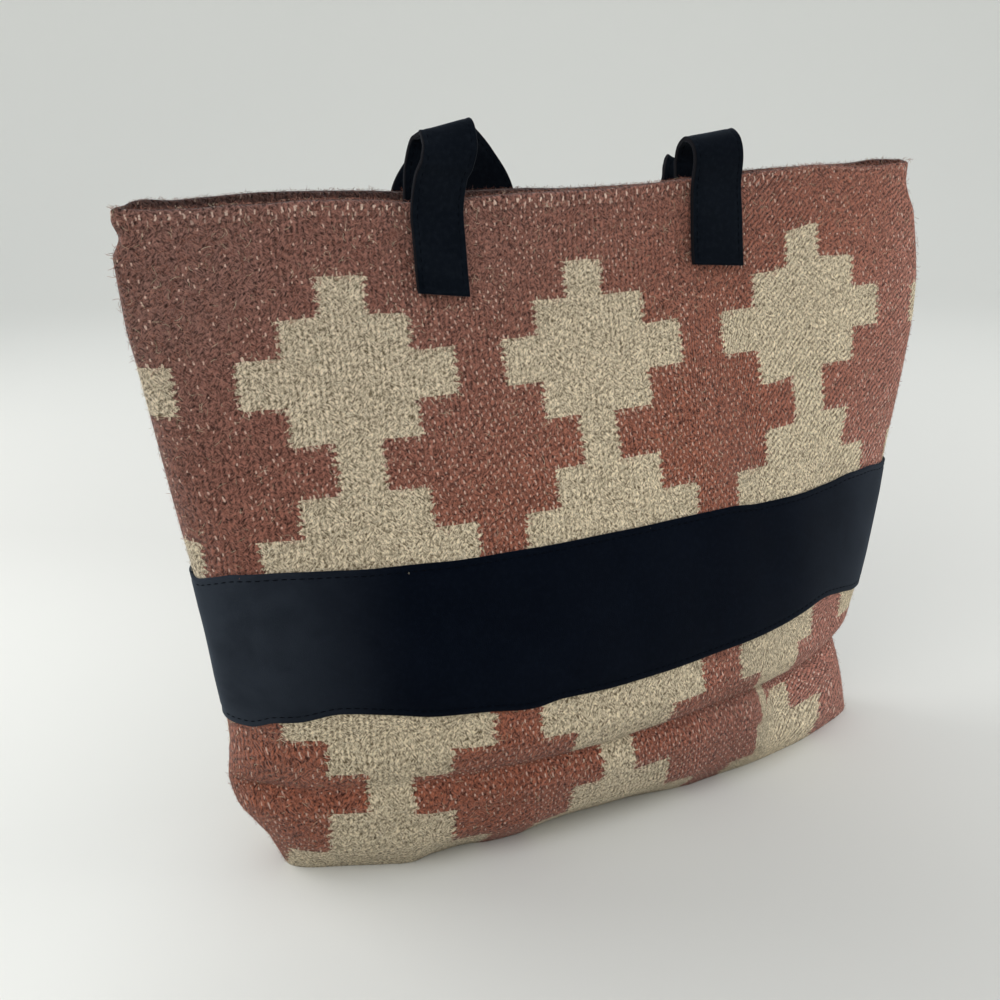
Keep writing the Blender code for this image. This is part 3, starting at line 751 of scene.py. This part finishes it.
class BandBed:
    # the cloth under a band, read anywhere between the band's two edges
    def __init__(self, back, count):
        shares = seamShares(count)
        self.downs = np.linspace(bandTop - 0.001, bandBottom + 0.005, 62)
        spans = [clothSpan(down, shares, back) for down in self.downs]
        self.points, self.across = (np.array(values) for values in zip(*spans))
        self.points[:, [0, -1], 1] = 0.0
        sideways = np.gradient(self.points, axis=1)
        sideways[:, 0] = (0, 1, 0) if back else (0, -1, 0)
        sideways[:, -1] = (0, -1, 0) if back else (0, 1, 0)
        normals = np.cross(sideways, np.gradient(self.points, axis=0))
        normals /= np.linalg.norm(normals, axis=2)[:, :, None]
        self.normals = normals if back else -normals
        columns = self.across[30] / step
        if back:
            ends = smoothTable(bandEnds, columns)
            upper, lower = 0.12 * ends, 0.06 * ends
        else:
            upper, lower = smoothTable(bandUpper, columns), smoothTable(bandLower, columns)
        self.upper = bandTop + upper * rowStep
        self.lower = bandBottom + lower * rowStep

    def row(self, share, offset, inset=0.0):
        wanted = self.upper + inset + (self.lower - self.upper - 2 * inset) * share
        place = (wanted - self.downs[0]) / (self.downs[1] - self.downs[0])
        k = np.clip(place.astype(int), 0, len(self.downs) - 2)
        t = (place - k)[:, None]
        n = np.arange(len(k))
        point = self.points[k, n] * (1 - t) + self.points[k + 1, n] * t
        normal = self.normals[k, n] * (1 - t) + self.normals[k + 1, n] * t
        across = self.across[k, n] * (1 - t[:, 0]) + self.across[k + 1, n] * t[:, 0]
        return point + normal * offset, np.stack([across, wanted], axis=-1), normal


def buildBand(name, node, back):
    bed = BandBed(back, 170)
    inner, outer, maps = [], [], []
    for share in np.linspace(0, 1, 45):
        nearEdge = min(share, 1 - share) * (bandBottom - bandTop)
        pinch = band["pinch"] * hump(nearEdge, band["stitchInset"], 0.0011)
        puff = band["puff"] * min(1.0, nearEdge / 0.02)
        low, flat, _ = bed.row(share, band["gap"])
        top, _, _ = bed.row(share, band["gap"] + band["thick"] + puff - pinch)
        inner.append(low)
        outer.append(top)
        maps.append(flat)
    rim = np.array((0, 0, 0.00035))
    upper = [inner[0], (inner[0] + outer[0]) / 2 + rim]
    lower = [(inner[-1] + outer[-1]) / 2 - rim]
    maps = [maps[0], maps[0]] + maps + [maps[-1]] + maps[::-1]
    bm = gridMesh(upper + outer + lower + inner[::-1], maps)
    fillEnds(bm)
    return makePiece(name, bm, suedeBand, node)


def stitchSeed():
    # one rounded thread, one unit long, wide and high
    bm = bmesh.new()
    bmesh.ops.create_uvsphere(bm, u_segments=6, v_segments=4, radius=0.5)
    return makeMesh("stitchSeed", bm)


def addStitch(bm, seed, a, b, normal, width):
    along = Vector(b - a)
    length = along.length
    along.normalize()
    side = Vector(normal).cross(along).normalized()
    out = along.cross(side).normalized()
    turn = Matrix((along * length, side * width, out * width * 0.85)).transposed().to_4x4()
    turn.translation = Vector((a + b) / 2)
    seed.transform(turn)
    bm.from_mesh(seed)
    seed.transform(turn.inverted())


def walk(line, pitch, stitch):
    # cuts a line of points into stitches of one length with gaps
    lengths = lengthsAlong(np.linalg.norm(np.diff(line, axis=0), axis=1))

    def at(s):
        return np.array([np.interp(s, lengths, line[:, k]) for k in range(3)])

    starts = np.arange(pitch / 2, lengths[-1] - stitch, pitch)
    return [(at(s), at(s + stitch), s / lengths[-1]) for s in starts]


def sew(name, lines, sizes):
    # threads along lines of points, each line with its own outward directions
    bm = bmesh.new()
    seed = stitchSeed()
    for line, outward in lines:
        for a, b, share in walk(line, sizes["stitchPitch"], sizes["stitch"]):
            addStitch(bm, seed, a, b, outward[int(share * (len(outward) - 1))], sizes["thread"])
    bpy.data.meshes.remove(seed)
    makePiece(name, bm, navyThread)


def bandStitchLines():
    for back in (False, True):
        bed = BandBed(back, 400)
        for share in (0.0, 1.0):
            line, _, normal = bed.row(share, band["gap"] + band["thick"] - 0.00005, band["stitchInset"])
            yield line[4:-4], normal[4:-4]


frontBand = buildBand("frontBand", "front_band", False)
backBand = buildBand("backBand", "back_band", True)
sew("bandStitches", bandStitchLines(), band)

# suede handles
strap = {"width": 0.0300, "leftWidth": 0.0268, "rightWidth": 0.0325, "leftSlant": 0.0036, "rightSlant": 0.0026,
         "thick": 0.0028, "sewn": 0.0530, "gap": 0.0004, "edgeRound": 0.0008, "seam": 0.00022,
         "stitchInset": 0.0030, "stitch": 0.0029, "stitchPitch": 0.0040, "thread": 0.00045}
# the loose part of each handle, in millimetres from the named places and from the rim's height: to the right,
# to the back and up, and then which way the strap's width points
frontWay = (
    ("left", "face", (1.2, -1.1, 5, 1, 0, 0.02), (3.5, -4.1, 13, 1, 0, 0.05), (5.5, -3.1, 21, 1, 0.02, 0.15),
     (6.8, 4.9, 28.5, 1, 0.05, 0.23)),
    ("left", "mouth", (6.6, -1.2, 24, 1, 0, 0.17), (4.5, 2.2, 13, 1, 0, 0.05), (3, 1.6, 1, 1, 0, 0),
     (3, 0.8, -20, 1, 0, 0), (4, -0.8, -50, 1, 0.15, 0), (11, -4.8, -82, 0.8, 0.6, 0),
     (38, -7.3, -113, 0.15, 1, 0)),
    ("middle", "mouth", (0, -8.3, -127, 0, 1, 0)),
    ("right", "mouth", (-38, -7.3, -113, -0.15, 1, 0), (-11, -4.8, -82, -0.8, 0.6, 0),
     (-4, -0.8, -50, -1, 0.15, 0), (-1, 0.8, -20, -1, 0, 0), (-0.5, 2, 1, -1, 0, 0),
     (0.3, 3.4, 10, -1, 0, -0.04), (-0.6, -0.2, 18.5, -1, 0, -0.1), (-1.8, -7.8, 22.5, -1, -0.04, -0.13)),
    ("right", "face", (-2, 0.4, 19, -1, -0.02, -0.11), (-1.2, -1.4, 11, -1, 0, -0.05)),
)
backWay = (
    ("left", "face", (9, 1.4, 5.2, 0.97, 0, -0.24), (16, 2.7, 12.4, 0.85, 0, -0.5),
     (21.5, 8.6, 18.2, 0.98, 0.1, 0.05), (29, 15.1, 15.7, 0.75, 0, 0.62), (39.5, 18.6, 6, 0.66, 0.05, 0.75),
     (51, 21.1, -11, 0.66, 0.1, 0.75), (60, 28.1, -38, 0.8, 0.35, 0.45), (64, 38.1, -75, 0.6, 0.75, 0.2)),
    ("left", "bulge", (67, -6.7, -112, 0.2, 0.97, 0.1), (80, -0.7, -145, 0, 1, 0.1)),
    ("middle", "bulge", (30, 2.3, -162, 0, 1, 0.1)),
    ("right", "bulge", (-20, -0.7, -145, 0, 1, 0.1), (-6, -6.7, -112, -0.2, 0.97, 0.1)),
    ("right", "face", (-2, 36.1, -75, -0.6, 0.75, 0.2), (3, 22.1, -38, -0.9, 0.35, 0.1),
     (6, 12.6, -14, -1, 0.05, 0), (7.8, 9.8, -1, -1, 0, 0), (7.6, 8.4, 4, -1, 0, 0), (6.8, 5.2, 5.8, -1, 0, 0),
     (5.6, 2.2, 5.2, -1, 0, 0), (3.8, 0.6, 3, -1, 0, 0)),
)


def spline(points, samples):
    # a curve through all the points, with so many samples between two of them
    points = np.array(points, float)
    padded = np.vstack([2 * points[0] - points[1], points, 2 * points[-1] - points[-2]])
    made = []
    for k in range(len(points) - 1):
        p0, p1, p2, p3 = padded[k:k + 4]
        for s in range(samples):
            t = s / samples
            made.append(0.5 * (2 * p1 + (p2 - p0) * t + (2 * p0 - 5 * p1 + 4 * p2 - p3) * t * t
                               + (3 * p1 - p0 - 3 * p2 + p3) * t ** 3))
    made.append(points[-1])
    return np.array(made)


def sewnStations(place, back, width):
    # the middle of a sewn end at four heights, just clear of the cloth under its whole width
    made = []
    for k in range(4):
        down = strap["sewn"] * (1 - k / 3) + 0.0035 * (k / 3)
        edges = [place - width / 2, place + width / 2]
        centre = clothRow(down, [place], back)[0]
        near = [centre]
        for other in (max(down - 0.005, 0), down, down + 0.005):
            near += list(clothRow(other, edges, back))
        outmost = max(p[1] for p in near) if back else min(p[1] for p in near)
        out = strap["thick"] / 2 + strap["gap"]
        made.append(np.array([centre[0], outmost + (out if back else -out), centre[2]]))
    return made


def handlePath(back):
    # the middle line of a handle from its left end to its right end, with its width and outward directions
    left = leftStrap if back else leftStrap - 0.0012
    right = rightStrap if back else rightStrap + 0.0010
    out = (cloth["rimBack"] if back else cloth["rimFront"]) + strap["thick"] + 0.0006
    places = {"left": left, "middle": (left + right) / 2, "right": right, "face": out if back else -out,
              "mouth": (cloth["rimBack"] - cloth["rimFront"]) / 2,
              "bulge": cloth["halfDepth"] + 0.0017 + strap["width"] / 2}
    path = [(places[side] + x * mm, places[deep] + y * mm, cloth["rimHeight"] + z * mm, *points)
            for side, deep, *rows in (backWay if back else frontWay) for x, y, z, *points in rows]
    leftEnd = sewnStations(left, back, strap["width"] if back else strap["leftWidth"])
    rightEnd = sewnStations(right, back, strap["width"] if back else strap["rightWidth"])
    stations = leftEnd + [np.array(row[:3]) for row in path] + rightEnd[::-1]
    hints = [(1, 0, 0)] * 4 + [row[3:] for row in path] + [(-1, 0, 0)] * 4
    smooth = spline(np.hstack([np.array(stations), np.array(hints)]), 9)
    line = smooth[:, :3]
    ahead = np.gradient(line, axis=0)
    ahead /= np.linalg.norm(ahead, axis=1)[:, None]
    hints = smooth[:, 3:]
    across = hints - ahead * (hints * ahead).sum(1)[:, None]
    across /= np.linalg.norm(across, axis=1)[:, None]
    out = np.cross(ahead, across)
    return line, across, out


def strapSection():
    # half widths and half heights round the strap: two layers with a seam line at each edge
    wide = strap["width"] / 2
    tall = strap["thick"] / 2
    curve = strap["edgeRound"]
    flat = np.linspace(-wide + curve, wide - curve, 17)
    points = [(x, tall - 0.00028 * hump(wide - abs(x), strap["stitchInset"], 0.0009)) for x in flat]

    def corner(angle, middle):
        turn = math.radians(angle)
        return wide - curve + curve * math.cos(turn), middle + curve * math.sin(turn)

    points += [corner(angle, tall - curve) for angle in (60, 30)]
    points += [(wide, tall * 0.30), (wide - strap["seam"], 0.0), (wide, -tall * 0.30)]
    points += [corner(angle, curve - tall) for angle in (-30, -60)]
    return points + [(-x, -y) for x, y in points]


def handleWidths(back, count):
    # the front handle was cut a little wider towards its right end
    if back:
        return np.full(count, strap["width"])
    along = np.linspace(0, 1, count)
    part = 0.62 * smoothStep(0.15, 0.80, along) + 0.38 * smoothStep(0.86, 0.95, along)
    return strap["leftWidth"] + (strap["rightWidth"] - strap["leftWidth"]) * part


def buildHandle(name, node, back):
    line, across, out = handlePath(back)
    section = strapSection()
    lengths = lengthsAlong(np.linalg.norm(np.diff(line, axis=0), axis=1))
    rows, maps = [], []
    wide = handleWidths(back, len(line)) / strap["width"]
    for k in range(len(line)):
        ring = [line[k] + across[k] * x * wide[k] + out[k] * y for x, y in section]
        fromEnd = min(k, len(line) - 1 - k)
        if fromEnd < 4 and not back:
            # the sewn ends are cut a little askew, higher at their left corner
            lift = strap["leftSlant"] if k < 4 else strap["rightSlant"]
            half = strap["width"] / 2
            ring = [p + np.array((0, 0, lift * (1 - x * across[k][0] / half) / 2 * (1 - fromEnd / 4) + 0.0004))
                    for p, (x, y) in zip(ring, section)]
        rows.append(ring + ring[:1])
        maps.append([(x, lengths[k]) for x, y in section] + [(section[0][0], lengths[k])])
    bm = gridMesh(rows, maps)
    fillEnds(bm)
    print(name, "length", round(float(lengths[-1]), 3))
    makePiece(name, bm, suedeStrap, node)


def handleStitchLines():
    for back in (False, True):
        line, across, out = handlePath(back)
        half = handleWidths(back, len(line))[:, None] / 2 - strap["stitchInset"]
        for side in (-1, 1):
            for face in (-1, 1):
                yield line + across * side * half + out * face * (strap["thick"] / 2 - 0.00018), out * face


buildHandle("frontHandle", "front_handle", False)
buildHandle("backHandle", "back_handle", True)
sew("handleStitches", handleStitchLines(), strap)

# loose wool fibres
fuzz = {"count": 34000, "levels": 160, "rim": 1700, "length": 0.0040, "width": 0.00021, "lift": 0.0005,
        "seed": 7}


def creamAt(across, down, back):
    # the woven colour at places of one level
    u, v = weavePlace(across, down, back)
    columns = np.searchsorted(pattern["columns"], u / step) - 1
    rows = np.searchsorted(pattern["rows"], v / rowStep) - 1
    turn = rows % 4
    place = (columns - 1) % 6
    inside = (np.abs(place - 2) <= 2 - np.abs(turn - 2)) & (place < 5) & (columns >= 0)
    start = (columns < 0) & (turn == 2) & (u / step > pattern["firstColumn"])
    return (inside | start) & (rows >= 0)


def fibreBeds(back, chance):
    # where the fibres grow, which way is out of the cloth and what colour they have
    bases, outs, creams = [], [], []
    each = fuzz["count"] // fuzz["levels"]
    for k in range(fuzz["levels"]):
        down = cloth["drop"] * (k + 0.5) / fuzz["levels"]
        left, right = levelAt(down).ends(back)
        across = left + (right - left) * chance.random(each)
        here = clothRow(down, across, back)
        beside = clothRow(down, across + 0.001, back)
        below = clothRow(down + 0.0011, across, back)
        normal = np.cross(beside - here, below - here)
        normal /= np.linalg.norm(normal, axis=1)[:, None]
        normal = normal if back else -normal
        here = here + (below - here) * chance.random(each)[:, None] * 2
        cream = creamAt(across, down, back)
        free = np.full(each, not (bandTop + 0.0005 < down < bandBottom - 0.0005))
        if down < strap["sewn"] + 0.002:
            for middle in (leftStrap, rightStrap):
                free &= np.abs(here[:, 0] - middle) > strap["width"] / 2 - 0.0005
        bases.append(here[free])
        outs.append(normal[free])
        creams.append(cream[free])
    left, right = levelAt(0.0).ends(back)
    across = left + (right - left) * chance.random(fuzz["rim"])
    crest = clothRow(0.0, across, back)
    crest[:, 2] += cloth["rimRound"]
    crest[:, 1] += (cloth["hem"] / 2) * (-1 if back else 1) * (0.4 + 1.2 * chance.random(fuzz["rim"]))
    up = np.array((0.0, 0.35 if back else -0.35, 0.94)) + chance.normal(0, 0.25, (fuzz["rim"], 3))
    bases.append(crest)
    outs.append(up / np.linalg.norm(up, axis=1)[:, None])
    creams.append(np.zeros(fuzz["rim"], bool))
    return np.concatenate(bases), np.concatenate(outs), np.concatenate(creams)


def buildFuzz(name, back, material):
    chance = np.random.default_rng(fuzz["seed"] + int(back))
    base, normal, cream = fibreBeds(back, chance)
    count = len(base)
    start = np.cross(normal, chance.normal(size=(count, 3)))
    start /= np.linalg.norm(start, axis=1)[:, None]
    turned = np.cross(normal, start)
    curl = chance.normal(0, 1.5, count)
    curled = np.abs(curl) > 0.05
    bend = np.where(curled, curl, 1)
    loose = chance.random(count) < 0.10
    lift = fuzz["lift"] * (0.3 + chance.random(count)) * np.where(loose, 2.6, 1.0)
    length = fuzz["length"] * (0.45 + 0.85 * chance.random(count))
    length[-fuzz["rim"]:] *= 0.55
    parts = []
    for t in (0.0, 1 / 3, 2 / 3, 1.0):
        angle = curl * t
        along = np.where(curled, np.sin(angle) / bend, t)
        aside = np.where(curled, (1 - np.cos(angle)) / bend, 0)
        rise = np.where(loose, lift * t * 1.2, lift * math.sin(math.pi * (0.15 + 0.75 * t)))
        middle = base + (start * along[:, None] + turned * aside[:, None]) * length[:, None]
        middle = middle + normal * (rise + 0.00005)[:, None]
        middle[:, 2] = np.maximum(middle[:, 2], 0.0005)
        ahead = start * np.cos(angle)[:, None] + turned * np.sin(angle)[:, None]
        side = np.cross(normal, ahead) * (fuzz["width"] * (1 - 0.55 * abs(2 * t - 1)) / 2)
        parts.append((middle - side, middle + side))
    tones = np.where(cream, 0.58 + 0.42 * chance.random(count), 0.10 + 0.36 * chance.random(count) ** 0.8)
    # some pale hairs lie over the rust as well
    tones = np.where(~cream & (chance.random(count) < 0.07), 0.62 + 0.2 * chance.random(count), tones)

    bm = bmesh.new()
    wide = 2 * count - 1
    bmesh.ops.create_grid(bm, x_segments=wide, y_segments=3, size=1)
    between = [f for f in bm.faces if round((f.calc_center_median().x + 1) / 2 * wide - 0.5) % 2 == 1]
    bmesh.ops.delete(bm, geom=between, context="FACES_ONLY")
    bare = [e for e in bm.edges if not e.link_faces]
    bmesh.ops.delete(bm, geom=bare, context="EDGES")
    mesh = makePiece(name, bm, material, smooth=False).data
    flat = np.empty(len(mesh.vertices) * 3)
    mesh.vertices.foreach_get("co", flat)
    flat = flat.reshape(-1, 3)
    i = np.rint((flat[:, 0] + 1) / 2 * wide).astype(int)
    j = np.rint((flat[:, 1] + 1) / 2 * 3).astype(int)
    ready = np.array(parts)
    mesh.vertices.foreach_set("co", ready[j, i % 2, i // 2].ravel())
    tone = mesh.attributes.new("tone", "FLOAT", "POINT")
    tone.data.foreach_set("value", tones[i // 2])
    mesh.update()


fuzzColour = fuzzMaterial()
buildFuzz("frontFuzz", False, fuzzColour)
buildFuzz("backFuzz", True, fuzzColour)

# floor, light and camera
studio = {"worldLight": 0.74, "floorReach": 2.0, "curve": 1.3, "wall": 0.5}
# each light's place, the height that it looks at, its size and its power
lights = {
    "windowLight": ((-1.25, -0.75, 1.25), 0.15, 1.1, 9.5),
    "leftBackLight": ((-1.0, 0.85, 0.9), 0.2, 0.8, 8.0),
    "fillLight": ((1.5, -0.55, 0.5), 0.15, 1.0, 13.0),
}
photoCamera = {"place": (-0.2831, -0.5137, 0.3850), "yaw": 0.429, "pitch": 0.339, "roll": -0.010,
               "lens": 39.6, "sensor": 36}


def buildStage():
    # a round sheet of paper that rises into a low wall all about the bag
    bm = bmesh.new()
    bmesh.ops.create_grid(bm, x_segments=120, y_segments=60, size=1)
    flat, curve = studio["floorReach"], studio["curve"]
    whole = flat + curve * math.pi / 2 + studio["wall"]
    for v in bm.verts:
        turn = (v.co.x + 1) * math.pi
        s = (v.co.y + 1) / 2 * whole
        bend = min(max(s - flat, 0) / curve, math.pi / 2)
        above = max(0.0, s - flat - curve * math.pi / 2)
        reach = min(s, flat) + curve * math.sin(bend)
        v.co = (reach * math.cos(turn), reach * math.sin(turn), curve * (1 - math.cos(bend)) + above)
    bmesh.ops.remove_doubles(bm, verts=bm.verts, dist=1e-5)
    mesh = makeMesh("paleFloor", bm)
    mesh.shade_smooth()
    floor = addObject("paleFloor", mesh)
    shade = Shade("paleFloor", (0.82, 0.825, 0.81), 0.9, Specular_IOR_Level=0.05)
    x, y, _ = shade.parts(shade.place())
    ahead, sideways = math.cos(photoCamera["yaw"]), math.sin(photoCamera["yaw"])
    along = x * sideways + y * ahead
    aside = x * ahead - y * sideways

    def paintedPool(atAlong, atAside, reach):
        # a soft round patch painted on the paper, used for a pool of light and for the bag's shadow
        a = along - atAlong
        b = aside - atAside
        return (a * a + b * b).between(0.0, reach * reach, 1.0, 0.0)

    # painted light: a pool of light at the front left, and the paper painted paler further back
    pale = paintedPool(-0.10, -0.55, 0.55) * 0.70 + (along - 0.3).between(0.0, 1.2)
    # painted shadow: the bag's soft shadow on the floor in front of it
    paintedShadow = paintedPool(-0.22, 0.02, 0.30) * 0.35
    colour = shade.mix(pale.least(1.0), (0.700, 0.70, 0.660), (0.850, 0.855, 0.805))
    shade.into("Base Color", shade.mix(paintedShadow, colour, (0.560, 0.560, 0.530)))
    mesh.materials.append(shade.material)


def areaLight(name, place, lookHeight, size, power):
    data = bpy.data.lights.new(name, "AREA")
    data.shape = "SQUARE"
    data.size = size
    data.energy = power
    lamp = addObject(name, data)
    lamp.location = place
    lamp.rotation_euler = (Vector((0, 0, lookHeight)) - Vector(place)).to_track_quat("-Z", "Y").to_euler()


def lightScene():
    world = bpy.data.worlds.new("studioWorld")
    bpy.context.scene.world = world
    world.use_nodes = True
    back = world.node_tree.nodes["Background"]
    back.inputs["Color"].default_value = (0.93, 0.95, 1.0, 1)
    back.inputs["Strength"].default_value = studio["worldLight"]
    for name, settings in lights.items():
        areaLight(name, *settings)


def placeCamera():
    yaw, pitch, roll = (photoCamera[name] for name in ("yaw", "pitch", "roll"))
    forward = Vector((math.sin(yaw) * math.cos(pitch), math.cos(yaw) * math.cos(pitch), -math.sin(pitch)))
    right = Vector((math.cos(yaw), -math.sin(yaw), 0))
    up = right.cross(forward)
    turnedRight = right * math.cos(roll) + up * math.sin(roll)
    turnedUp = -right * math.sin(roll) + up * math.cos(roll)
    data = bpy.data.cameras.new("photoCamera")
    data.sensor_width = photoCamera["sensor"]
    data.lens = photoCamera["lens"]
    camera = addObject("photoCamera", data)
    turn = Matrix((turnedRight, turnedUp, -forward)).transposed().to_4x4()
    turn.translation = Vector(photoCamera["place"])
    camera.matrix_world = turn
    bpy.context.scene.camera = camera


buildStage()
lightScene()
placeCamera()
bpy.context.scene.view_settings.view_transform = "Standard"

print("scene made")
